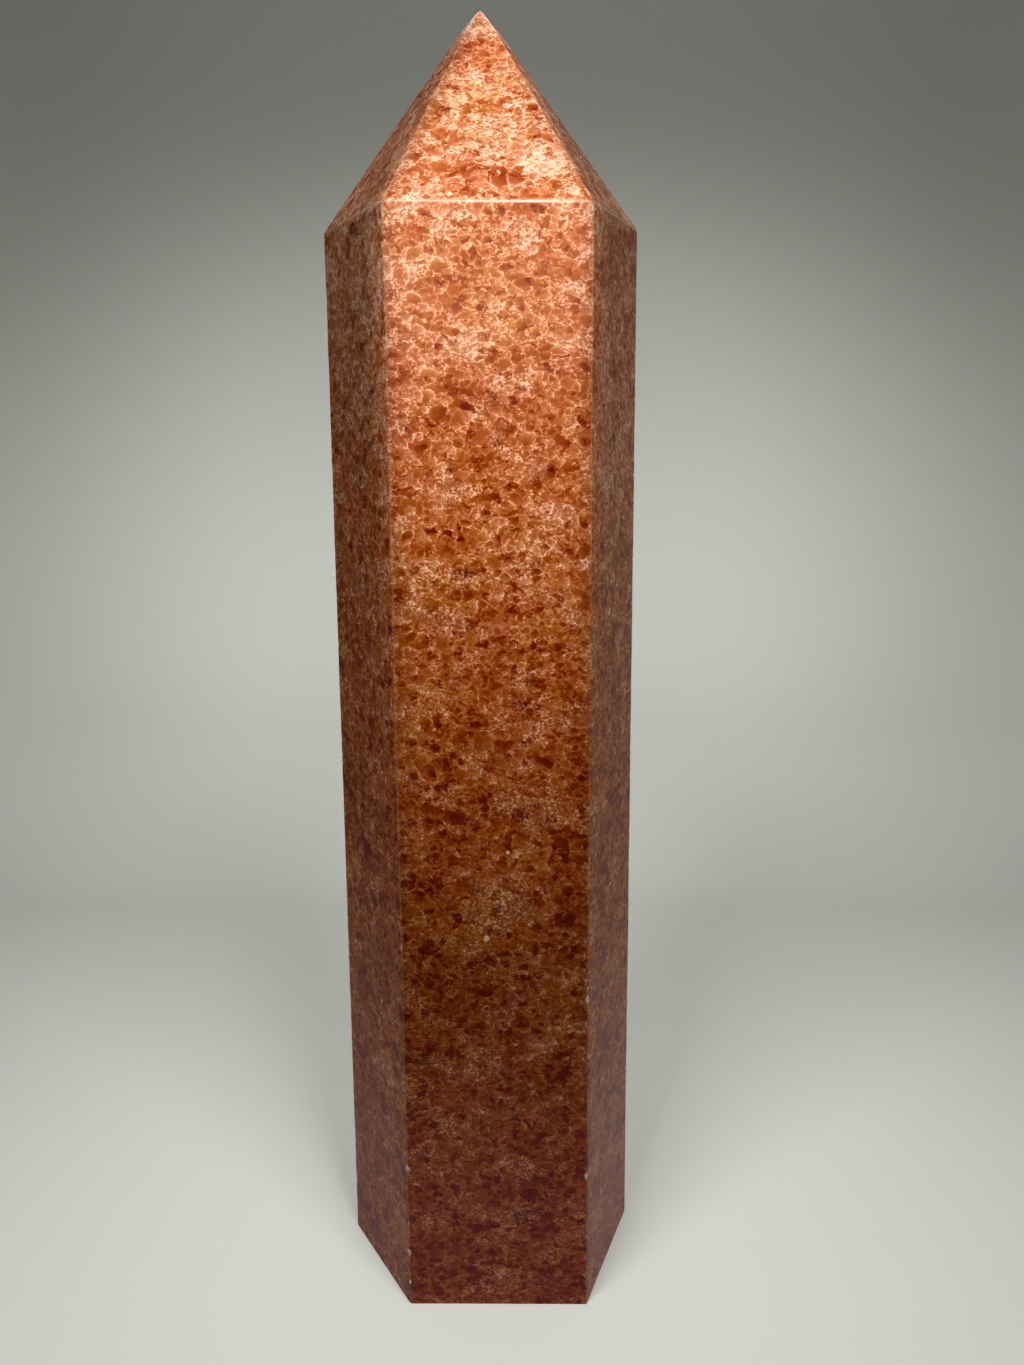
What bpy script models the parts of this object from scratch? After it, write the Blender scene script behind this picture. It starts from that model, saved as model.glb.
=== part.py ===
"""Sunstone tower: a six-sided point, sawn, ground and polished from one piece of stone.

The stone stands on its flat base. Z is up, the origin is at the middle of the base,
and the front facet looks along -Y. All sizes are in metres and all angles in degrees.
"""

import math

import bmesh
import bpy
from mathutils import Vector

# Driving dimensions of the plan: three pairs of parallel facets.
FRONT_ACROSS = 0.0512           # from the front facet to the back facet
LEFT_ACROSS = 0.0513            # from the left front facet to the right back facet
RIGHT_ACROSS = 0.0518           # from the right front facet to the left back facet
LEFT_TURN = 60.0                # how far the left front facet turns away from the front facet
RIGHT_TURN = 71.3               # how far the right front facet turns away from the front facet

# Driving heights: the shoulder is ground by hand, so its six corners are not quite level.
FRONT_LEFT_SHOULDER = 0.1978
FRONT_RIGHT_SHOULDER = 0.1974
RIGHT_SHOULDER = 0.1982
BACK_RIGHT_SHOULDER = 0.1977
BACK_LEFT_SHOULDER = 0.1973
LEFT_SHOULDER = 0.1974
POINT_HEIGHT = 0.2355           # where the six tip faces would meet in a sharp point
TIP_HEIGHT = 0.2346             # where the faces of the dulled end meet, before it is rounded
DULLING_START = 0.2305          # height where the dulled end of the point begins

# Polished rounding along every sharp edge.
ARRIS_WIDTH = 0.0004
ARRIS_SEGMENTS = 2
ARRIS_ANGLE = 20.0              # edges that turn more than this are rounded

STONE_COLOUR = (0.52, 0.17, 0.07, 1.0)
STONE_ROUGHNESS = 0.22


def clear_scene():
    """Remove every object, so that the model starts from nothing."""
    for thing in list(bpy.data.objects):
        bpy.data.objects.remove(thing, do_unlink=True)


def facet(turn, across):
    """A side facet: its outward level direction, and its distance from the axis."""
    angle = math.radians(turn)
    return Vector((math.sin(angle), -math.cos(angle))), across / 2


def side_facets():
    """The six upright facets, counter-clockwise from the front one as seen from above."""
    return [
        facet(0.0, FRONT_ACROSS),
        facet(RIGHT_TURN, RIGHT_ACROSS),
        facet(180.0 - LEFT_TURN, LEFT_ACROSS),
        facet(180.0, FRONT_ACROSS),
        facet(180.0 + RIGHT_TURN, RIGHT_ACROSS),
        facet(360.0 - LEFT_TURN, LEFT_ACROSS),
    ]


def crossing(first, second):
    """Place in the plan where two side facets meet."""
    (n1, d1), (n2, d2) = first, second
    det = n1.x * n2.y - n1.y * n2.x
    return (d1 * n2.y - d2 * n1.y) / det, (n1.x * d2 - n2.x * d1) / det


def plan_corners():
    """The six corners of the plan: corner i lies between facet i and the next one."""
    facets = side_facets()
    return [crossing(a, b) for a, b in zip(facets, facets[1:] + facets[:1])]


def base_ring(corners):
    """Corners of the base."""
    return [Vector((x, y, 0.0)) for x, y in corners]


def shoulder_ring(corners):
    """Corners of the shoulder, where the upright facets end and the tip faces begin."""
    heights = [
        FRONT_RIGHT_SHOULDER,
        RIGHT_SHOULDER,
        BACK_RIGHT_SHOULDER,
        BACK_LEFT_SHOULDER,
        LEFT_SHOULDER,
        FRONT_LEFT_SHOULDER,
    ]
    return [Vector((x, y, height)) for (x, y), height in zip(corners, heights)]


def dulled_ring(shoulder):
    """Points on the edges of the tip faces where the dulled end of the point begins."""
    point = Vector((0.0, 0.0, POINT_HEIGHT))
    drop = POINT_HEIGHT - DULLING_START
    return [point.lerp(corner, drop / (POINT_HEIGHT - corner.z)) for corner in shoulder]


def join_rings(bm, lower, upper):
    """Close the band between two rings with one flat face for each side of the stone."""
    for i in range(len(lower)):
        bm.faces.new((lower[i - 1], lower[i], upper[i], upper[i - 1]))


def close_tip(bm, ring, top):
    """Six small faces that meet at the top of the stone."""
    for i in range(len(ring)):
        bm.faces.new((ring[i - 1], ring[i], top))


def stone_material():
    """Polished orange stone."""
    material = bpy.data.materials.new("sunstone")
    material.use_nodes = True
    shader = material.node_tree.nodes["Principled BSDF"]
    shader.inputs["Base Color"].default_value = STONE_COLOUR
    shader.inputs["Roughness"].default_value = STONE_ROUGHNESS
    shader.inputs["Metallic"].default_value = 0.0
    material.diffuse_color = STONE_COLOUR
    return material


def round_arrises(tower):
    """Round every sharp edge by the width that polishing takes off."""
    rounding = tower.modifiers.new("arrises", "BEVEL")
    rounding.width = ARRIS_WIDTH
    rounding.segments = ARRIS_SEGMENTS
    rounding.limit_method = "ANGLE"
    rounding.angle_limit = math.radians(ARRIS_ANGLE)


def build_tower():
    """The whole stone: base, six upright facets, six tip faces and the dulled tip."""
    corners = plan_corners()
    shoulder = shoulder_ring(corners)
    bm = bmesh.new()
    base_verts = [bm.verts.new(place) for place in base_ring(corners)]
    shoulder_verts = [bm.verts.new(place) for place in shoulder]
    dulled_verts = [bm.verts.new(place) for place in dulled_ring(shoulder)]
    top = bm.verts.new((0.0, 0.0, TIP_HEIGHT))
    bm.faces.new(base_verts[::-1])
    join_rings(bm, base_verts, shoulder_verts)
    join_rings(bm, shoulder_verts, dulled_verts)
    close_tip(bm, dulled_verts, top)
    mesh = bpy.data.meshes.new("tower")
    bm.to_mesh(mesh)
    bm.free()
    mesh.materials.append(stone_material())
    tower = bpy.data.objects.new("tower", mesh)
    bpy.context.scene.collection.objects.link(tower)
    round_arrises(tower)
    return tower


clear_scene()
build_tower()
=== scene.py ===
import math
import random

import bpy
import numpy as np
from mathutils import Matrix, Vector, noise


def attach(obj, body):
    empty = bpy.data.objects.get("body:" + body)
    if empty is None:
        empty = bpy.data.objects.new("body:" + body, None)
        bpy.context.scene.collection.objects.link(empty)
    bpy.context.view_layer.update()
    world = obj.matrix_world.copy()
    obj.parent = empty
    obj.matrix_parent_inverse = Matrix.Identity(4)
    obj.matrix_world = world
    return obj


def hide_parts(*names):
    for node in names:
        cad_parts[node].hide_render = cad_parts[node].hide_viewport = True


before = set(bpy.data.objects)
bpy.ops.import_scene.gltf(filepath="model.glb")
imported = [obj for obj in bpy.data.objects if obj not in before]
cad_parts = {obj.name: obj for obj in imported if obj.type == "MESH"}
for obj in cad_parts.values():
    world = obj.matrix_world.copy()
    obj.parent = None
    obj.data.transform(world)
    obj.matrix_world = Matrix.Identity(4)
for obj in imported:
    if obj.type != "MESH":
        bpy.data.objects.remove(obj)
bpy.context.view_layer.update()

# Lengths in this script are in millimetres, and MM turns them into the frame's metres.
MM = 0.001
SEED = 7

# The plan of the stone, from the model: three pairs of parallel facets.
FRONT_ACROSS, LEFT_ACROSS, RIGHT_ACROSS = 51.2, 51.3, 51.8
LEFT_TURN, RIGHT_TURN = 60.0, 71.3
SHOULDER_HEIGHTS = (197.4, 198.2, 197.7, 197.3, 197.4, 197.8)
POINT_HEIGHT = 235.5
TIP_HEIGHT = 234.6
DULLING_START = 230.5

# How the mesh of the stone is divided.
ARRIS_STATIONS = (0.0, 0.12, 0.25, 0.42, 0.65, 1.0, 1.7, 3.0, 5.5, 9.5)
ROW_STEP = 0.55
TIP_ROWS = 80
DULL_ROWS = 10
BASE_INSETS = (0.1, 0.22, 0.4, 0.7, 1.3, 3.0, 8.0, 16.0)

# Rounding of the arrises, which wear has made wider in some places, and how far from the crest
# their frost and the painted highlight on the shoulder reach. A noise has a size and a seed.
ROUNDING = 0.13
ROUNDING_SPREAD = 0.4
ROUNDING_PASSES = 4
BROAD_WEAR = (6.0, 3.1)
FINE_WEAR = (1.7, 5.3)
FINE_WEAR_SHARE = 0.6
EDGE_REACH = 0.35

# How far the polished faces are from flat, and the height over which that sets in at the base.
FLATNESS = 0.03
FLATNESS_NOISE = (17.0, 9.7)
FLAT_FOOT = 4.0

# Chips that show on the upright edges: which edge, height, radius and depth.
SEEN_CHIPS = (
    (0, 196.4, 1.3, 0.35),
    (0, 62.0, 1.3, 0.4),
    (0, 27.0, 1.1, 0.4),
    (5, 28.3, 1.2, 0.35),
    (5, 10.9, 1.0, 0.3),
)

# Chips in random places: how many on each edge, and the limits of their radii and depths.
UPRIGHT_CHIPS, UPRIGHT_CHIP_RADII, UPRIGHT_CHIP_DEPTHS = 5, (0.5, 1.1), (0.12, 0.3)
BASE_CHIPS, BASE_CHIP_RADII, BASE_CHIP_DEPTHS = 3, (0.5, 1.2), (0.1, 0.3)
TIP_CHIPS, TIP_CHIP_RADIUS, TIP_CHIP_DEPTHS = 2, 0.6, (0.1, 0.2)
# How far the chips on the edges of the base face downwards, and those of the tip upwards.
BASE_CHIP_FALL, TIP_CHIP_RISE = 20.0, 15.0
# The unevenness of a chip's hollow, how far it can reach in radii, and the depth from which it
# looks fully chipped.
CHIP_UNEVENNESS = 0.25
CHIP_NOISE = (0.45, 1.9)
CHIP_REACH = 1.3
FULL_CHIP_DEPTH = 0.15

# The texture sheet: the gap round its parts, the room and length of a tip face, and where the
# middle of the base lies in its room.
SHEET_GAP = 1.5
TIP_ROOM_HEIGHT = 47.0
TIP_FACE_LENGTH = 45.5
BASE_ROOM_MIDDLE = (31.0, 26.5)

# Camera, solved from the corners of the stone in the photograph.
PHOTO_LONG_SIDE = 1365
FOCAL_PIXELS = 1150
SENSOR = 36.0
CAMERA_PLACE = (8.19, -218.3, 156.1)
CAMERA_YAW, CAMERA_PITCH, CAMERA_ROLL = -0.868, -10.601, -0.366
NEAREST_SEEN, FARTHEST_SEEN = 10.0, 20000.0


def colour(code):
    """Scene-linear colour from a six-digit hexadecimal screen colour."""
    parts = [int(code[i:i + 2], 16) / 255 for i in (0, 2, 4)]
    return tuple(c / 12.92 if c <= 0.04045 else ((c + 0.055) / 1.055) ** 2.4 for c in parts) + (1.0,)


# Shape of the stone


def facet(turn, across):
    """A side facet as (outward level direction, distance from the axis)."""
    angle = math.radians(turn)
    return np.array((math.sin(angle), -math.cos(angle))), across / 2


def plan_corners():
    """Corners of the plan, counter-clockwise: corner i lies between facet i and the next one."""
    facets = [
        facet(0.0, FRONT_ACROSS),
        facet(RIGHT_TURN, RIGHT_ACROSS),
        facet(180.0 - LEFT_TURN, LEFT_ACROSS),
        facet(180.0, FRONT_ACROSS),
        facet(180.0 + RIGHT_TURN, RIGHT_ACROSS),
        facet(360.0 - LEFT_TURN, LEFT_ACROSS),
    ]
    corners = []
    for (n1, d1), (n2, d2) in zip(facets, facets[1:] + facets[:1]):
        corners.append(np.linalg.solve(np.array((n1, n2)), np.array((d1, d2))))
    return np.array(corners)


def facet_widths():
    """Width of each side facet."""
    plan = plan_corners()
    return [float(np.linalg.norm(plan[i] - plan[i - 1])) for i in range(6)]


def key_rings():
    """Corner rings of the sharp stone: base, shoulder and start of the dulled tip, and the top."""
    plan = plan_corners()
    base = np.column_stack((plan, np.zeros(6)))
    shoulder = np.column_stack((plan, SHOULDER_HEIGHTS))
    point = np.array((0.0, 0.0, POINT_HEIGHT))
    share = (POINT_HEIGHT - DULLING_START) / (POINT_HEIGHT - shoulder[:, 2:3])
    dulled = point + (shoulder - point) * share
    top = np.array((0.0, 0.0, TIP_HEIGHT))
    return base, shoulder, dulled, top


def plane_through(a, b, c):
    """Plane as (outward unit normal, offset) through three points that turn counter-clockwise."""
    normal = np.cross(b - a, c - a)
    normal /= np.linalg.norm(normal)
    return normal, float(normal @ a)


def stone_planes():
    """All the flat faces of the stone as planes: base, sides, tip faces and dulled tip."""
    base, shoulder, dulled, top = key_rings()
    point = np.array((0.0, 0.0, POINT_HEIGHT))
    planes = [(np.array((0.0, 0.0, -1.0)), 0.0)]
    for i in range(6):
        planes.append(plane_through(base[i - 1], base[i], shoulder[i]))
        planes.append(plane_through(shoulder[i - 1], shoulder[i], point))
        planes.append(plane_through(dulled[i - 1], dulled[i], top))
    normals = np.array([normal for normal, _ in planes])
    offsets = np.array([offset for _, offset in planes])
    return normals, offsets


def stations(width):
    """Places across a facet as shares of its width, close together near both of its edges."""
    near = [s / width for s in ARRIS_STATIONS]
    return near + [0.5] + [1 - s for s in near[:0:-1]]


def ring(corners):
    """Points round one level of the stone, in the order of the mesh's columns."""
    points = []
    for i, width in enumerate(facet_widths()):
        for share in stations(width):
            points.append(corners[i - 1] * (1 - share) + corners[i] * share)
    return points


def side_shares():
    """Heights of the rows up the sides as shares of the shoulder height."""
    height = min(SHOULDER_HEIGHTS)
    low = [s / height for s in ARRIS_STATIONS[:-2]]
    inner = np.linspace(low[-1], 1 - low[-1], int(height / ROW_STEP))
    return low[:-1] + list(inner) + [1 - s for s in low[-2::-1]]


def tip_shares():
    """Heights of the rows up the tip as shares of its height, closer together at both ends."""
    eased = [0.5 - 0.5 * math.cos(math.pi * i / TIP_ROWS) for i in range(TIP_ROWS + 1)]
    return [0.5 * (a + b) for a, b in zip(eased, eased[1:])]


def stone_grid():
    """Rings of the sharp stone from near the middle of the base to near the top."""
    base, shoulder, dulled, top = key_rings()
    rings = []
    for inset in BASE_INSETS[::-1]:
        rings.append(ring(base * (1 - inset / (FRONT_ACROSS / 2))))
    for share in side_shares():
        rings.append(ring(base + (shoulder - base) * share))
    for share in tip_shares():
        rings.append(ring(shoulder + (dulled - shoulder) * share))
    for i in range(DULL_ROWS):
        rings.append(ring(dulled + (top - dulled) * (i / DULL_ROWS)))
    return np.array(rings)


def soft_distance(points, normals, offsets, width):
    """Signed distance to the stone with its edges rounded over this width, and its direction."""
    gaps = (points @ normals.T - offsets) / width[:, None]
    peak = gaps.max(axis=1, keepdims=True)
    weights = np.exp(gaps - peak)
    total = weights.sum(axis=1, keepdims=True)
    distance = (peak[:, 0] + np.log(total[:, 0])) * width
    return distance, (weights / total) @ normals


def noise_at(points, size, seed):
    """Smooth noise from about -1 to 1 at each point."""
    shift = Vector((seed, -seed, 2 * seed))
    return np.array([noise.noise(Vector(p) / size + shift) for p in points])


def rounded(points):
    """Moves points of the sharp stone onto its rounded, slightly uneven surface."""
    normals, offsets = stone_planes()
    wear = noise_at(points, *BROAD_WEAR) + FINE_WEAR_SHARE * noise_at(points, *FINE_WEAR)
    width = ROUNDING * np.exp(ROUNDING_SPREAD * wear)
    for _ in range(ROUNDING_PASSES):
        distance, direction = soft_distance(points, normals, offsets, width)
        slope = np.linalg.norm(direction, axis=1)
        points = points - direction * (distance / slope ** 2)[:, None]
    unevenness = FLATNESS * noise_at(points, *FLATNESS_NOISE)
    unevenness *= np.clip(points[:, 2] / FLAT_FOOT, 0.0, 1.0)
    return points - direction * unevenness[:, None]


def edge_chips():
    """Small chips along the edges as (place, outward direction, radius, depth)."""
    rng = random.Random(SEED)
    base, shoulder, dulled, _ = key_rings()
    chips = []

    def add(start, end, share, outward, radius, depth):
        place = start + (end - start) * share
        chips.append((place, outward / np.linalg.norm(outward), radius, depth))

    for i, height, radius, depth in SEEN_CHIPS:
        add(base[i], shoulder[i], height / SHOULDER_HEIGHTS[i], base[i], radius, depth)
    for i in range(6):
        for _ in range(UPRIGHT_CHIPS):
            share = rng.random()
            radius = rng.uniform(*UPRIGHT_CHIP_RADII)
            add(base[i], shoulder[i], share, base[i], radius, rng.uniform(*UPRIGHT_CHIP_DEPTHS))
        for _ in range(BASE_CHIPS):
            share = rng.random()
            radius = rng.uniform(*BASE_CHIP_RADII)
            outward = (base[i - 1] + base[i]) / 2 - (0.0, 0.0, BASE_CHIP_FALL)
            add(base[i - 1], base[i], share, outward, radius, rng.uniform(*BASE_CHIP_DEPTHS))
        for _ in range(TIP_CHIPS):
            share = rng.random()
            outward = base[i] + (0.0, 0.0, TIP_CHIP_RISE)
            depth = rng.uniform(*TIP_CHIP_DEPTHS)
            add(shoulder[i], dulled[i], share, outward, TIP_CHIP_RADIUS, depth)
    return chips


def chipped(points):
    """Scoops the chips out of the surface, and says how deep each point lies in one."""
    depth_at = np.zeros(len(points))
    uneven = 1 + CHIP_UNEVENNESS * noise_at(points, *CHIP_NOISE)
    for place, outward, radius, depth in edge_chips():
        centre = place + outward * (radius - depth)
        near = np.where(np.linalg.norm(points - centre, axis=1) < radius * CHIP_REACH)[0]
        away = points[near] - centre
        along = away @ outward
        across = (away ** 2).sum(axis=1) - along ** 2
        reach = (radius * uneven[near]) ** 2 - across
        floor = -np.sqrt(np.clip(reach, 0.0, None))
        drop = np.clip(np.where(reach > 0, along - floor, 0.0), 0.0, None)
        points[near] -= outward * drop[:, None]
        depth_at[near] = np.maximum(depth_at[near], drop)
    return points, depth_at


def edge_closeness(points):
    """1 on the crest of an edge of the stone, falling to 0 a little way in from it."""
    normals, offsets = stone_planes()
    gaps = np.sort(points @ normals.T - offsets, axis=1)
    return np.clip(1.0 + gaps[:, -2] / EDGE_REACH, 0.0, 1.0)


def stone_faces(rows, columns):
    """Faces between the rings, after a fan round the middle of the base and before one at the top."""
    middle, peak = rows * columns, rows * columns + 1
    last = (rows - 1) * columns
    following = [(j + 1) % columns for j in range(columns)]
    faces = [(middle, k, j) for j, k in enumerate(following)]
    for row in range(rows - 1):
        low, high = row * columns, (row + 1) * columns
        faces += [(low + j, low + k, high + k, high + j) for j, k in enumerate(following)]
    return faces + [(last + j, last + k, peak) for j, k in enumerate(following)]


def store(mesh, name, values):
    """Keeps a number for each point of the mesh, for the material."""
    attribute = mesh.attributes.new(name, "FLOAT", "POINT")
    attribute.data.foreach_set("value", values.astype(np.float32))


class Sheet:
    """Texture sheet: the sides as one unrolled band, and beside it the tip faces and the base."""

    def __init__(self):
        self.widths = facet_widths()
        self.starts = [SHEET_GAP + sum(self.widths[:i]) for i in range(6)]
        beside = sum(self.widths) + 2 * SHEET_GAP
        room = max(self.widths) + SHEET_GAP
        self.tips = [(beside + i % 2 * room, SHEET_GAP + i // 2 * TIP_ROOM_HEIGHT) for i in range(6)]
        above_tips = SHEET_GAP + 3 * TIP_ROOM_HEIGHT
        self.base = (beside + BASE_ROOM_MIDDLE[0], above_tips + BASE_ROOM_MIDDLE[1])
        self.size = (beside + 2 * room + SHEET_GAP, max(SHOULDER_HEIGHTS) + 2 * SHEET_GAP)
        self.first_side_row = len(BASE_INSETS)
        self.shoulder_row = self.first_side_row + len(side_shares()) - 1

    def place(self, row, i, share, point):
        """Place of a point of a face in this row, at this share of the way across facet i."""
        x, y, z = point
        if row < self.first_side_row:
            return self.base[0] + x, self.base[1] + y
        if row < self.shoulder_row:
            return self.starts[i] + share * self.widths[i], SHEET_GAP + z
        up = (z - SHOULDER_HEIGHTS[i]) / (TIP_HEIGHT - SHOULDER_HEIGHTS[i])
        up = min(max(up, 0.0), 1.0)
        across = share * (1 - up) + 0.5 * up
        return self.tips[i][0] + across * self.widths[i], self.tips[i][1] + up * TIP_FACE_LENGTH


def add_sheet_map(mesh, sharp, columns):
    """Lays the faces out on the texture sheet. They are in rows, from the fan in the base up."""
    sheet = Sheet()
    shares = [stations(width) + [1.0] for width in sheet.widths]
    layer = mesh.uv_layers.new(name="OFBake")
    uvs = np.zeros((len(mesh.loops), 2))
    for face in mesh.polygons:
        row, column = face.index // columns - 1, face.index % columns
        i, station = divmod(column, columns // 6)
        for loop, v in zip(face.loop_indices, face.vertices):
            share = shares[i][station if v % columns == column else station + 1]
            uvs[loop] = sheet.place(row, i, share, sharp[v])
    uvs /= sheet.size
    layer.data.foreach_set("uv", uvs.ravel().astype(np.float32))


def make_stone():
    """The stone as one closed mesh with rounded, worn edges."""
    grid = stone_grid()
    rows, columns = grid.shape[:2]
    top = key_rings()[3]
    sharp = np.vstack((grid.reshape(-1, 3), (0.0, 0.0, 0.0), top))
    points, chip_depth = chipped(rounded(sharp))

    mesh = bpy.data.meshes.new("sunstone_tower")
    mesh.from_pydata((points * MM).tolist(), [], stone_faces(rows, columns))
    mesh.update()
    mesh.shade_smooth()
    add_sheet_map(mesh, sharp, columns)
    store(mesh, "chip", np.clip(chip_depth / FULL_CHIP_DEPTH, 0.0, 1.0))
    store(mesh, "edge", edge_closeness(points))
    stone = bpy.data.objects.new("sunstone_tower", mesh)
    bpy.context.scene.collection.objects.link(stone)
    return stone


# Materials


class Graph:
    """Short calls for building a node tree."""

    def __init__(self, tree, keep=False):
        self.tree = tree
        if not keep:
            tree.nodes.clear()

    def put(self, socket, value):
        """Links a socket, or sets its value."""
        if isinstance(value, bpy.types.NodeSocket):
            self.tree.links.new(value, socket)
        elif value is not None:
            socket.default_value = value

    def node(self, kind, inputs=(), **settings):
        """A node with these settings, and these values or links on its inputs."""
        made = self.tree.nodes.new(kind)
        for name, value in settings.items():
            setattr(made, name, value)
        for key, value in dict(inputs).items():
            self.put(made.inputs[key], value)
        return made

    def math(self, operation, a, b=None):
        """A sum, product or the like of one or two numbers."""
        return self.node("ShaderNodeMath", {0: a, 1: b}, operation=operation).outputs[0]

    def times(self, a, b):
        """The product of two numbers."""
        return self.math("MULTIPLY", a, b)

    def total(self, first, *others):
        """The sum of numbers, added up in their order."""
        for other in others:
            first = self.math("ADD", first, other)
        return first

    def about(self, value, factor):
        """How far a noise is from its middle, times a factor."""
        return self.times(self.math("SUBTRACT", value, 0.5), factor)

    def vector(self, operation, a, b):
        """A sum, product or the like of two vectors."""
        return self.node("ShaderNodeVectorMath", {0: a, 1: b}, operation=operation).outputs[0]

    def scaled(self, a, factor):
        """A vector times a number."""
        return self.node("ShaderNodeVectorMath", {0: a, "Scale": factor}, operation="SCALE").outputs[0]

    def mix(self, factor, a, b):
        """A colour between a and b, which a Mix node takes on inputs 6 and 7."""
        made = self.node("ShaderNodeMix", data_type="RGBA")
        self.put(made.inputs[0], factor)
        self.put(made.inputs[6], a)
        self.put(made.inputs[7], b)
        return made.outputs[2]

    def blend(self, factor, a, b):
        """A number between a and b, which a Mix node takes on inputs 2 and 3."""
        return self.node("ShaderNodeMix", {0: factor, 2: a, 3: b}, data_type="FLOAT").outputs[0]

    def attribute(self, name):
        """A number that is kept for each point of the mesh."""
        return self.node("ShaderNodeAttribute", attribute_name=name).outputs["Fac"]

    def object_place(self):
        """The place in the object, in millimetres."""
        return self.scaled(self.node("ShaderNodeTexCoord").outputs["Object"], 1 / MM)

    def spot(self, place, centre, inner, outer):
        """1 within the inner radius of a place on the stone, falling to 0 at the outer one."""
        squat_centre = (centre[0], centre[1], centre[2] * SQUATNESS)
        made = self.node("ShaderNodeVectorMath", {0: place, 1: squat_centre}, operation="DISTANCE")
        return self.step(made.outputs["Value"], inner, outer, 1.0, 0.0)

    def tinted(self, shade, brightness):
        """A colour made brighter or darker."""
        grey = self.node("ShaderNodeCombineXYZ", {0: brightness, 1: brightness, 2: brightness})
        return self.vector("MULTIPLY", shade, grey.outputs[0])

    def ramp(self, factor, stops):
        """Colour ramp through (place, colour) stops."""
        made = self.node("ShaderNodeValToRGB", {0: factor})
        elements = made.color_ramp.elements
        while len(elements) < len(stops):
            elements.new(0.5)
        for element, (place, shade) in zip(elements, stops):
            element.position = place
            element.color = shade
        return made.outputs[0]

    def step(self, value, low, high, start=0.0, end=1.0):
        """Smooth step from start, at value low, to end, at value high."""
        limits = {"From Min": low, "From Max": high, "To Min": start, "To Max": end}
        made = self.node("ShaderNodeMapRange", {"Value": value, **limits}, interpolation_type="SMOOTHSTEP")
        return made.outputs[0]

    def noise(self, place, size, detail, roughness):
        """Noise with features of this size, in millimetres."""
        settings = {"Scale": 1 / size, "Detail": detail, "Roughness": roughness}
        return self.node("ShaderNodeTexNoise", {"Vector": place, **settings}).outputs["Fac"]

    def pushed(self, place, shade, amount):
        """The place pushed aside by a random colour."""
        centred = self.vector("SUBTRACT", shade, (0.5, 0.5, 0.5))
        return self.vector("ADD", place, self.scaled(centred, amount))

    def warp(self, place, size, amount):
        """The place pushed about by noise."""
        made = self.node("ShaderNodeTexNoise", {"Vector": place, "Scale": 1 / size, "Detail": 1.0})
        return self.pushed(place, made.outputs["Color"], amount)

    def shattered(self, place, size, amount):
        """The place pushed aside by a random step in each cell of this size."""
        made = self.node("ShaderNodeTexVoronoi", {"Vector": place, "Scale": 1 / size})
        return self.pushed(place, made.outputs["Color"], amount)

    def cells(self, place, size):
        """Random cells of this size: (random colour, place of the centre, distance to the border)."""
        lattice = {"Vector": place, "Scale": 1 / size}
        near = self.node("ShaderNodeTexVoronoi", lattice)
        border = self.node("ShaderNodeTexVoronoi", lattice, feature="DISTANCE_TO_EDGE")
        edge = self.times(border.outputs["Distance"], size)
        return near.outputs["Color"], near.outputs["Position"], edge

    def parts(self, vector):
        """The three parts of a vector."""
        return tuple(self.node("ShaderNodeSeparateXYZ", {0: vector}).outputs)

    def split(self, shade):
        """The three channels of a random colour as separate random numbers."""
        return tuple(self.node("ShaderNodeSeparateColor", {0: shade}).outputs)


def new_material(name):
    """An empty material and its node tree."""
    material = bpy.data.materials.new(name)
    material.use_nodes = True
    return material, Graph(material.node_tree)


# Colours of the mineral from its darkest grains to its palest crushed veins, where it is red and
# where it is golden.
RED_STONE = (
    (0.0, (0.15, 0.007, 0.0003, 1.0)),
    (0.15, (0.21, 0.016, 0.001, 1.0)),
    (0.3, (0.30, 0.041, 0.003, 1.0)),
    (0.45, (0.40, 0.077, 0.010, 1.0)),
    (0.6, (0.52, 0.130, 0.032, 1.0)),
    (0.75, (0.68, 0.220, 0.098, 1.0)),
    (0.88, (0.85, 0.360, 0.205, 1.0)),
    (1.0, (1.0, 0.620, 0.420, 1.0)),
)
GOLDEN_STONE = (
    (0.0, (0.15, 0.010, 0.0003, 1.0)),
    (0.15, (0.21, 0.023, 0.001, 1.0)),
    (0.3, (0.30, 0.052, 0.002, 1.0)),
    (0.45, (0.40, 0.098, 0.006, 1.0)),
    (0.6, (0.52, 0.165, 0.020, 1.0)),
    (0.75, (0.68, 0.270, 0.060, 1.0)),
    (0.88, (0.85, 0.410, 0.140, 1.0)),
    (1.0, (1.0, 0.640, 0.360, 1.0)),
)
SPECK = (1.0, 0.84, 0.70, 1.0)
CHALK = (0.80, 0.52, 0.34, 1.0)
# A painted glow for the brightly lit upper part, and a painted haze of reflected floor light for the foot.
PAINTED_GLOW = (0.88, 0.50, 0.34, 1.0)
PAINTED_HAZE = (0.45, 0.22, 0.34, 1.0)
# The frost of the arrises, which along the shoulder is a painted highlight.
GROUND_EDGE_AND_HIGHLIGHT = (0.95, 0.60, 0.38, 1.0)

# Below, where a comment says nothing else, four numbers in a row are a smooth step: where it
# starts and ends, and its values there. Two are a step from 0 to 1.

# Grains are this many times wider than they are high.
SQUATNESS = 1.2
# How the rock is bent and then shattered: size and amount of each.
BROAD_BEND = (4.5, 1.6)
FINE_BEND = (0.9, 0.3)
SHATTERING = (0.8, 0.22)
# Noises in the rock, as size, detail and roughness: where it is crushed and pale, where it is
# golden, where it is deep in colour, its clouds, its specks and its fine ragged grain.
PALE_ZONES = (7.0, 3.0, 0.6)
GOLDEN_ZONES = (14.0, 2.0, 0.5)
DEEP_ZONES = (12.0, 2.0, 0.5)
CLOUDS = (2.2, 2.0, 0.5)
SPECKS = (0.35, 2.0, 0.6)
RAGGED_GRAIN = (0.5, 3.0, 0.7)
# How far noises and grains are moved, so that they don't lie on others of about their size.
GOLDEN_SHIFT = (31.0, 7.0, 0.0)
DEEP_SHIFT = (3.0, 47.0, 11.0)
SPECK_SHIFT = (5.0, 9.0, 0.0)
DARK_SHIFT = (17.0, 3.0, 5.0)


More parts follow.
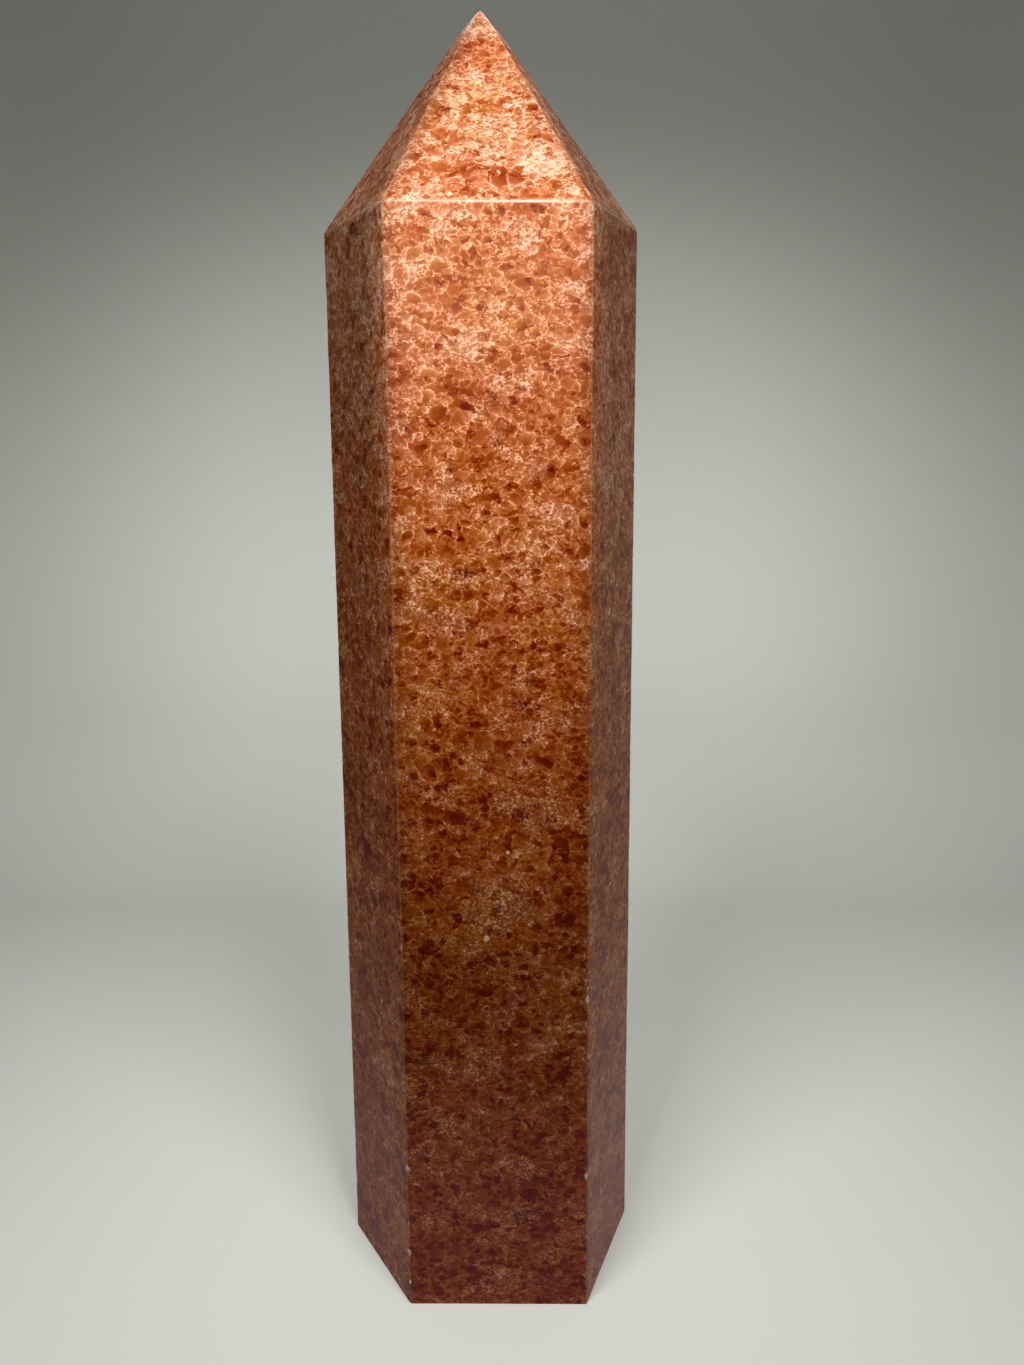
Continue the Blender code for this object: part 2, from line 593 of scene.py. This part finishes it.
class Rock:
    """What all layers of the rock share: places in it, its zones and its fine ragged grain."""

    def __init__(self, g):
        self.place = g.object_place()
        _, _, self.height = g.parts(self.place)
        self.squat = g.vector("MULTIPLY", self.place, (1.0, 1.0, SQUATNESS))
        bent = g.warp(g.warp(self.squat, *BROAD_BEND), *FINE_BEND)
        self.grained = g.shattered(bent, *SHATTERING)
        self.pale_zone = g.noise(self.squat, *PALE_ZONES)
        self.golden_zone = g.noise(g.vector("ADD", self.squat, GOLDEN_SHIFT), *GOLDEN_ZONES)
        self.deep_zone = g.noise(g.vector("ADD", self.squat, DEEP_SHIFT), *DEEP_ZONES)
        self.ragged = g.noise(self.place, *RAGGED_GRAIN)


# How pale the rock is up the stone, partly from its own paler matrix and partly painted light on
# its brightly lit upper part, and how much its zones change that.
PALER_UPWARDS = (70.0, 200.0, 0.40, 0.69)
PALE_POINT = (228.5, 231.0, 0.0, 0.12)
PALE_ZONE_SPREAD, DEEP_ZONE_SPREAD = 0.3, 0.34
# A painted highlight on the front of the tip, a pale spot in place of a lamp's reflection: its
# place, its inner and outer radius, and its strength.
PAINTED_HIGHLIGHT_SPOT, PAINTED_HIGHLIGHT_RADII, PAINTED_HIGHLIGHT_STRENGTH = (12.0, -20.5, 205.0), (2.0, 6.5), 0.24


def paleness_with_painted_light(g, rock):
    """How pale the rock is, on the whole: it is paler towards the tip, partly from its own paler matrix
    and partly as painted light, and it carries a painted highlight on the front of the tip.
    """
    # Painted highlight: a pale spot on the front of the tip, where a lamp's reflection falls.
    painted_highlight = g.spot(rock.grained, PAINTED_HIGHLIGHT_SPOT, *PAINTED_HIGHLIGHT_RADII)
    return g.total(
        # Paler upwards: partly the rock's own paler matrix, partly painted light on the brightly lit top.
        g.step(rock.height, *PALER_UPWARDS),
        g.about(rock.pale_zone, PALE_ZONE_SPREAD),
        g.about(rock.deep_zone, DEEP_ZONE_SPREAD),
        g.times(painted_highlight, PAINTED_HIGHLIGHT_STRENGTH),
        g.step(rock.height, *PALE_POINT),
    )


# Crumbs of the crushed stone: how they are bent, their size, and how much they differ in tone.
COARSE_BEND, COARSE_SIZE, COARSE_SPREAD = (1.0, 0.7), 1.1, 0.22
FINE_CRUMB_BEND, FINE_SIZE, FINE_SPREAD = (0.7, 0.35), 0.45, 0.37
FINE_CRUMB_SQUATNESS = 1.4
CLOUD_SPREAD = 0.3
# The ragged grain is stronger in the pale zones, and its pits are shallower than its crests.
RAGGED_STRENGTH = (0.45, 0.62, 0.7, 1.9)
PIT_SHARE = 0.5
# Veins between the coarse crumbs: their half width, in which clouds they are, and their strength.
VEIN_WIDTH, VEIN_CLOUDS, VEIN_STRENGTH = (0.02, 0.14, 1.0, 0.0), (0.4, 0.6), 0.2


def crushed_stone(g, rock, base):
    """Tone and hue of the finely crushed stone, which everything else lies in."""
    coarse_shade, _, coarse_edge = g.cells(g.warp(rock.squat, *COARSE_BEND), COARSE_SIZE)
    coarse, hue, _ = g.split(coarse_shade)
    flat = g.vector("MULTIPLY", g.warp(rock.squat, *FINE_CRUMB_BEND), (1.0, 1.0, FINE_CRUMB_SQUATNESS))
    fine, _, _ = g.split(g.cells(flat, FINE_SIZE)[0])
    cloud = g.noise(rock.squat, *CLOUDS)
    grain = g.math("SUBTRACT", rock.ragged, 0.5)
    pits = g.times(g.math("MINIMUM", grain, 0.0), PIT_SHARE)
    grain = g.math("ADD", g.math("MAXIMUM", grain, 0.0), pits)
    vein = g.times(g.step(coarse_edge, *VEIN_WIDTH), g.step(cloud, *VEIN_CLOUDS))
    tone = g.total(
        base,
        g.times(grain, g.step(rock.pale_zone, *RAGGED_STRENGTH)),
        g.about(fine, FINE_SPREAD),
        g.about(coarse, COARSE_SPREAD),
        g.about(cloud, CLOUD_SPREAD),
        g.times(vein, VEIN_STRENGTH),
    )
    return tone, hue


# Layers of grains: size, and the share of the cells of this size that are grains, which falls
# in the pale zones.
GRAIN_LAYERS = ((3.3, 0.24), (2.1, 0.34), (1.3, 0.36))
CROWDING = 0.8
CHOICE_SOFTNESS = 0.01
# Tone of a grain: how much grains differ, how much painted shading changes the tone across one, as
# if each grain were lit from its own side, how much of the ragged grain shows in it, and how much
# deeper it is in its middle than near its border.
GRAIN_SPREAD = 0.32
GRAIN_PAINTED_SHADING = 0.7
GRAIN_RAGGEDNESS = 0.25
GRAIN_DEPTH = (0.05, 0.5, 0.02, -0.14)
# Its border, and the broken bright rim along it.
GRAIN_BORDER = (0.0, 0.12)
RIM_WIDTH, RIM_BREAKS, RIM_STRENGTH = (0.02, 0.16, 1.0, 0.0), (0.42, 0.62), 0.18


def grain_layer(g, rock, base, tone, hue, size, share):
    """Lays one size of translucent grain over the stone: some of the angular cells of this size."""
    shade, centre, edge = g.cells(rock.grained, size)
    pick, tint, value = g.split(shade)
    side, _, rise = g.parts(g.scaled(g.vector("SUBTRACT", rock.grained, centre), 1 / size))

    pick = g.math("ADD", pick, g.about(rock.pale_zone, CROWDING))
    chosen = g.step(pick, share - CHOICE_SOFTNESS, share + CHOICE_SOFTNESS, 1.0, 0.0)
    mask = g.times(chosen, g.step(edge, *GRAIN_BORDER))
    own_tone_and_shading = g.total(
        g.about(value, GRAIN_SPREAD),
        # Painted shading: each grain darkens towards one side and lightens towards the other.
        g.times(rise, g.about(tint, GRAIN_PAINTED_SHADING)),
        g.times(side, g.about(value, GRAIN_PAINTED_SHADING)),
        g.about(rock.ragged, GRAIN_RAGGEDNESS),
        g.step(edge, *GRAIN_DEPTH),
    )
    tone = g.blend(mask, tone, g.math("ADD", base, own_tone_and_shading))
    hue = g.blend(mask, hue, tint)

    broken = g.times(chosen, g.step(rock.ragged, *RIM_BREAKS))
    rim = g.times(g.step(edge, *RIM_WIDTH), broken)
    return g.math("ADD", tone, g.times(rim, RIM_STRENGTH)), hue


# Sparse dark grains: size, share and how much darker they are.
DARK_GRAINS = ((2.6, 0.05, 0.2), (1.5, 0.07, 0.3))
DARK_BORDER = (0.0, 0.1)


def dark_grains(g, rock, tone):
    """Darkens a few grains."""
    place = g.vector("ADD", rock.grained, DARK_SHIFT)
    for size, share, drop in DARK_GRAINS:
        shade, _, edge = g.cells(place, size)
        pick, _, _ = g.split(shade)
        chosen = g.step(pick, share, share + CHOICE_SOFTNESS, 1.0, 0.0)
        dark = g.times(chosen, g.step(edge, *DARK_BORDER))
        tone = g.math("SUBTRACT", tone, g.times(dark, drop))
    return tone


# White specks, more of them in the pale zones, and two chips in the front facet.
SPECK_CROWDING = 0.25
SPECK_LIMITS = (0.66, 0.76)
SPECK_STRENGTH = 0.35
FACE_CHIPS = ((4.6, -25.6, 89.8), (0.2, -25.6, 73.6))
FACE_CHIP_RADII = (0.35, 0.6)


def white_specks(g, rock, tone):
    """Scatters white specks in the rock, and sets the chips in the front facet."""
    noise_there = g.noise(g.vector("ADD", rock.place, SPECK_SHIFT), *SPECKS)
    crowded = g.math("ADD", noise_there, g.about(rock.pale_zone, SPECK_CROWDING))
    tone = g.math("ADD", tone, g.times(g.step(crowded, *SPECK_LIMITS), SPECK_STRENGTH))
    for chip in FACE_CHIPS:
        tone = g.math("ADD", tone, g.spot(rock.grained, chip, *FACE_CHIP_RADII))
    return tone


# How much the hue differs from grain to grain and from zone to zone. The rock is golden in its
# lower part, but red at its foot.
HUE_SPREAD, ZONE_HUE_SPREAD = 0.8, 1.3
GOLDEN_BELOW = (120.0, 180.0, 0.32, 0.0)
RED_FOOT = (10.0, 70.0, 0.3, 0.0)


def whole_hue(g, rock, hue):
    """The hue of the rock, from 0 where it is red to 1 where it is golden."""
    hue = g.math("ADD", g.about(hue, HUE_SPREAD), g.about(rock.golden_zone, ZONE_HUE_SPREAD))
    hue = g.math("ADD", hue, g.step(rock.height, *GOLDEN_BELOW))
    hue = g.math("SUBTRACT", hue, g.step(rock.height, *RED_FOOT))
    return g.math("MAXIMUM", g.math("MINIMUM", hue, 1.0), 0.0)


# A painted glow of the bright light on the upper part makes its grains less deep in colour, but
# less on the tip. A painted haze of reflected floor light makes the foot a little purple, and the
# foot is darker.
PAINTED_GLOW_ON_TOP = (155.0, 185.0, 0.0, 0.07)
PAINTED_GLOW_ON_TIP = (196.0, 199.0, 1.0, 0.2)
PAINTED_HAZE_AT_FOOT = (15.0, 60.0, 0.09, 0.0)
DARK_FOOT = (-20.0, 120.0, 0.70, 1.0)
# Chalky crumbs: in which zones, in which parts of the ragged grain, and how chalky up the stone.
CHALK_ZONES = (0.5, 0.66)
CHALK_CRUMBS = (0.45, 0.7)
CHALK_UPWARDS = (60.0, 160.0, 0.34, 0.5)


def stone_colour_and_painted_light(g, rock, tone, hue):
    """Colour of the rock from its tone and hue, with a painted glow on its upper part, a painted haze and
    a darkening at its foot, and its chalky crumbs.
    """
    stone = g.mix(hue, g.ramp(tone, RED_STONE), g.ramp(tone, GOLDEN_STONE))
    # Painted glow: the brightly lit upper part is mixed towards a pale orange.
    painted_glow = g.times(g.step(rock.height, *PAINTED_GLOW_ON_TOP), g.step(rock.height, *PAINTED_GLOW_ON_TIP))
    stone = g.mix(painted_glow, stone, PAINTED_GLOW)
    # Painted haze: reflected floor light makes the foot a little purple.
    stone = g.mix(g.step(rock.height, *PAINTED_HAZE_AT_FOOT), stone, PAINTED_HAZE)
    chalk = g.times(g.step(rock.pale_zone, *CHALK_ZONES), g.step(rock.ragged, *CHALK_CRUMBS))
    stone = g.mix(g.times(chalk, g.step(rock.height, *CHALK_UPWARDS)), stone, CHALK)
    return g.tinted(stone, g.step(rock.height, *DARK_FOOT))


# The frost on the arrises, which is strongest at the shoulder, where it is a painted highlight,
# and how white the chips are.
FROST_AND_HIGHLIGHT_UP_TO_SHOULDER = (194.0, 196.5, 0.3, 1.0)
FROST_AND_HIGHLIGHT_PAST_SHOULDER = (199.0, 201.0, 1.0, 0.3)
FROST_AND_HIGHLIGHT_SHARPNESS = 2.0
CHIP_WHITENESS = 0.85


def worn_and_highlit_colour(g, rock, stone, chip):
    """The colour of the rock, with faintly frosted arrises, a painted highlight along the shoulder arris,
    and white chips.
    """
    # Painted highlight: along the shoulder the frost grows to full strength and to white.
    frost_and_highlight_band = g.times(g.step(rock.height, *FROST_AND_HIGHLIGHT_UP_TO_SHOULDER), g.step(rock.height, *FROST_AND_HIGHLIGHT_PAST_SHOULDER))
    frost_and_highlight = g.times(g.math("POWER", g.attribute("edge"), FROST_AND_HIGHLIGHT_SHARPNESS), frost_and_highlight_band)
    stone = g.mix(frost_and_highlight, stone, g.mix(frost_and_highlight, GROUND_EDGE_AND_HIGHLIGHT, SPECK))
    return g.mix(g.times(chip, CHIP_WHITENESS), stone, SPECK)


# Roughness of the rock under the polish, and how much rougher the chips are.
STONE_ROUGHNESS, CHIP_ROUGHNESS = 0.2, 0.4


def sunstone_material():
    """Translucent orange and brick grains in finely crushed peach stone, under a clear polish."""
    material, g = new_material("sunstone")
    rock = Rock(g)
    base = paleness_with_painted_light(g, rock)
    tone, hue = crushed_stone(g, rock, base)
    for size, share in GRAIN_LAYERS:
        tone, hue = grain_layer(g, rock, base, tone, hue, size, share)
    tone = white_specks(g, rock, dark_grains(g, rock, tone))
    stone = stone_colour_and_painted_light(g, rock, tone, whole_hue(g, rock, hue))
    chip = g.attribute("chip")

    bump = g.node("ShaderNodeBump", {"Height": rock.ragged, "Strength": 0.1, "Distance": 0.3 * MM})
    shader = g.node("ShaderNodeBsdfPrincipled", {
        "Base Color": worn_and_highlit_colour(g, rock, stone, chip),
        "Roughness": g.math("ADD", STONE_ROUGHNESS, g.times(chip, CHIP_ROUGHNESS)),
        "IOR": 1.54,
        "Specular IOR Level": 0.012,
        "Specular Tint": (1.0, 0.25, 0.05, 1.0),
        "Normal": bump.outputs[0],
        "Coat Weight": 0.07,
        "Coat Roughness": 0.07,
    })
    g.node("ShaderNodeOutputMaterial", {"Surface": shader.outputs[0]})
    return material


# Stage, camera and light

# The sweep: its half width, front end, the start and radius of its bend, and its top.
SWEEP_HALF_WIDTH, SWEEP_FRONT = 6000.0, -6000.0
BEND_START, BEND_RADIUS, BEND_STEPS = 175.0, 55.0, 24
SWEEP_TOP = 700.0
SWEEP_COLOUR = colour("D3D6CE")
# What the camera sees beyond the reach of the lamps, and between which distances from the stone
# the sweep takes that paleness on.
SURROUND_COLOUR = colour("A9ADA0")
SURROUND_START = (270.0, 430.0, 0.0, 0.5)
# Strength of the surround as light, and as what the camera sees.
SURROUND_LIGHT, SURROUND_SEEN = 0.1, 0.6


def stage_material():
    """Plain pale sweep, which stays pale to the camera beyond the reach of the lamps."""
    material, g = new_material("pale_sweep")
    level = g.vector("MULTIPLY", g.object_place(), (1.0, 1.0, 0.0))
    away = g.node("ShaderNodeVectorMath", {0: level}, operation="LENGTH").outputs["Value"]
    seen = g.node("ShaderNodeLightPath").outputs["Is Camera Ray"]
    shader = g.node("ShaderNodeBsdfPrincipled", {
        "Base Color": SWEEP_COLOUR,
        "Roughness": 0.8,
        "Specular IOR Level": 0.2,
        "Emission Color": SURROUND_COLOUR,
        "Emission Strength": g.times(seen, g.step(away, *SURROUND_START)),
    })
    g.node("ShaderNodeOutputMaterial", {"Surface": shader.outputs[0]})
    return material


def make_stage():
    """A pale floor that curves up into a plain wall behind the stone."""
    profile = [(SWEEP_FRONT, 0.0), (BEND_START, 0.0)]
    for i in range(1, BEND_STEPS + 1):
        angle = math.radians(90 * i / BEND_STEPS)
        profile.append((BEND_START + BEND_RADIUS * math.sin(angle), BEND_RADIUS * (1 - math.cos(angle))))
    profile.append((BEND_START + BEND_RADIUS, SWEEP_TOP))
    sides = (-SWEEP_HALF_WIDTH, SWEEP_HALF_WIDTH)
    verts = [(x * MM, y * MM, z * MM) for x in sides for y, z in profile]
    count = len(profile)
    faces = [(i, i + count, i + count + 1, i + 1) for i in range(count - 1)]
    mesh = bpy.data.meshes.new("sweep")
    mesh.from_pydata(verts, [], faces)
    mesh.shade_smooth()
    mesh.materials.append(stage_material())
    sweep = bpy.data.objects.new("sweep", mesh)
    bpy.context.scene.collection.objects.link(sweep)
    return sweep


def make_camera():
    """Camera at the photograph's place, direction and angle of view."""
    yaw, pitch, roll = (math.radians(a) for a in (CAMERA_YAW, CAMERA_PITCH, CAMERA_ROLL))
    ahead = Vector((math.sin(yaw) * math.cos(pitch), math.cos(yaw) * math.cos(pitch), math.sin(pitch)))
    right = Vector((math.cos(yaw), -math.sin(yaw), 0.0))
    up = right.cross(ahead)
    tilted_right = right * math.cos(roll) + up * math.sin(roll)
    tilted_up = up * math.cos(roll) - right * math.sin(roll)
    data = bpy.data.cameras.new("camera")
    data.sensor_width = SENSOR
    data.lens = SENSOR * FOCAL_PIXELS / PHOTO_LONG_SIDE
    data.clip_start = NEAREST_SEEN * MM
    data.clip_end = FARTHEST_SEEN * MM
    camera = bpy.data.objects.new("camera", data)
    turn = Matrix((tilted_right, tilted_up, -ahead)).transposed().to_4x4()
    camera.matrix_world = Matrix.Translation(Vector(CAMERA_PLACE) * MM) @ turn
    bpy.context.scene.collection.objects.link(camera)
    bpy.context.scene.camera = camera


def make_lamp(name, place, target, size, power, spread, only=None):
    """A soft rectangular lamp at a place, aimed at a target, which may light one object only."""
    data = bpy.data.lights.new(name, "AREA")
    data.shape = "RECTANGLE"
    data.size, data.size_y = size[0] * MM, size[1] * MM
    data.energy = power
    data.spread = math.radians(spread)
    lamp = bpy.data.objects.new(name, data)
    lamp.location = Vector(place) * MM
    lamp.rotation_euler = (Vector(target) - Vector(place)).to_track_quat("-Z", "Y").to_euler()
    lamp.visible_camera = False
    if only:
        lit = bpy.data.collections.new(name + "_lights")
        lit.objects.link(only)
        lamp.light_linking.receiver_collection = lit
    bpy.context.scene.collection.objects.link(lamp)
    return lamp


# The lamp before the front of the stone: how far below level it shines, how far behind the front
# facet it aims, its distance from there, and the stretch that it covers, measured upwards across
# its beam.
FRONT_LAMP_SLOPE = 38.0
FRONT_LAMP_AIM = 6.0
FRONT_LAMP_DISTANCE = 100.0
FRONT_LAMP_LOW, FRONT_LAMP_HIGH = 28.0, 192.0
FRONT_LAMP_WIDTH = 34.0
FRONT_LAMP_SPREAD = 8.0
FRONT_LAMP_POWER = 0.026
# It brightens up to the shoulder by this power of the height, and is weaker above, where it
# narrows to this half width at the top, as a share of its width.
FRONT_LAMP_RISE = 1.4
FRONT_LAMP_TIP_FADE, FRONT_LAMP_TIP_LEVEL = 0.02, 0.74
FRONT_LAMP_TIP_HALF = 0.03


def across_beam(y, z):
    """How high a place on the middle line of the stone lies across the front lamp's beam."""
    slope = math.radians(FRONT_LAMP_SLOPE)
    return y * math.sin(slope) + z * math.cos(slope)


def shape_front_lamp(lamp):
    """Cuts the front lamp to the outline of the front of the stone, and grades its light."""
    lamp.data.use_nodes = True
    emission = lamp.data.node_tree.nodes["Emission"]
    g = Graph(lamp.data.node_tree, keep=True)
    u, v, _ = g.parts(g.node("ShaderNodeNewGeometry").outputs["Parametric"])
    reach = FRONT_LAMP_HIGH - FRONT_LAMP_LOW
    shoulder = (across_beam(-FRONT_ACROSS / 2, SHOULDER_HEIGHTS[0]) - FRONT_LAMP_LOW) / reach
    top = (across_beam(0.0, TIP_HEIGHT) - FRONT_LAMP_LOW) / reach
    aside = g.math("ABSOLUTE", g.math("SUBTRACT", u, 0.5))
    narrowing = {"From Min": shoulder, "From Max": top, "To Min": 0.5, "To Max": FRONT_LAMP_TIP_HALF}
    half = g.node("ShaderNodeMapRange", {"Value": v, **narrowing}).outputs[0]
    within = g.math("LESS_THAN", aside, half)
    rising = g.math("MINIMUM", g.math("POWER", g.math("DIVIDE", v, shoulder), FRONT_LAMP_RISE), 1.0)
    fade = g.step(v, shoulder, shoulder + FRONT_LAMP_TIP_FADE, 1.0, FRONT_LAMP_TIP_LEVEL)
    g.put(emission.inputs["Strength"], g.times(within, g.times(rising, fade)))


def make_front_lamp():
    """A narrow lamp close before the front of the stone, brightest on its upper part."""
    slope = math.radians(FRONT_LAMP_SLOPE)
    plan = plan_corners()
    x, y = (plan[0][0] + plan[5][0]) / 2, -FRONT_ACROSS / 2 + FRONT_LAMP_AIM
    middle = (FRONT_LAMP_LOW + FRONT_LAMP_HIGH) / 2
    z = (middle - y * math.sin(slope)) / math.cos(slope)
    place = (x, y - FRONT_LAMP_DISTANCE * math.cos(slope), z + FRONT_LAMP_DISTANCE * math.sin(slope))
    size = (FRONT_LAMP_WIDTH, FRONT_LAMP_HIGH - FRONT_LAMP_LOW)
    lamp = make_lamp("front_lamp", place, (x, y, z), size, FRONT_LAMP_POWER, FRONT_LAMP_SPREAD)
    shape_front_lamp(lamp)


# The other lamps: name, place, target, size, power, spread in degrees, and what it lights if
# not everything.
SOFT_LAMPS = (
    ("ceiling", (0, -30, 420), (0, 0, 0), (360, 300), 0.3, 180.0, None),
    ("left_floor_lamp", (-110, -230, 400), (-20, 60, 0), (140, 60), 0.2, 75.0, "sweep"),
    ("right_floor_lamp", (110, -230, 400), (20, 60, 0), (140, 60), 0.2, 75.0, "sweep"),
    ("wall_lamp", (0, -260, 200), (-10, 230, 115), (340, 50), 0.075, 42.0, "sweep"),
    ("left_fill", (-350, -150, 140), (0, 0, 110), (150, 200), 0.038, 120.0, "stone"),
    ("right_fill", (350, -150, 140), (0, 0, 110), (150, 200), 0.058, 120.0, "stone"),
    ("back_fill", (0, 190, 440), (0, 20, 110), (220, 120), 0.3, 120.0, "stone"),
)


def make_world():
    """A dim pale surround, about as pale to the camera as the far end of the floor."""
    world = bpy.data.worlds.new("surround")
    world.use_nodes = True
    background = world.node_tree.nodes["Background"]
    g = Graph(world.node_tree, keep=True)
    seen = g.node("ShaderNodeLightPath").outputs["Is Camera Ray"]
    g.put(background.inputs["Strength"], g.step(seen, 0.0, 1.0, SURROUND_LIGHT, SURROUND_SEEN))
    g.put(background.inputs["Color"], SURROUND_COLOUR)
    bpy.context.scene.world = world


def make_light(stone, sweep):
    """A narrow lamp on the front, a soft ceiling, and soft lamps for the backdrop, sides and back."""
    pieces = {"stone": stone, "sweep": sweep, None: None}
    make_front_lamp()
    for name, place, target, size, power, spread, lit in SOFT_LAMPS:
        make_lamp(name, place, target, size, power, spread, pieces[lit])
    make_world()


def main():
    """The whole scene: camera, sweep, stone and light."""
    make_camera()
    sweep = make_stage()
    stone = make_stone()
    stone.data.materials.append(sunstone_material())
    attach(stone, "root")
    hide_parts("tower")
    make_light(stone, sweep)
    bpy.context.scene.view_settings.view_transform = "Standard"


main()
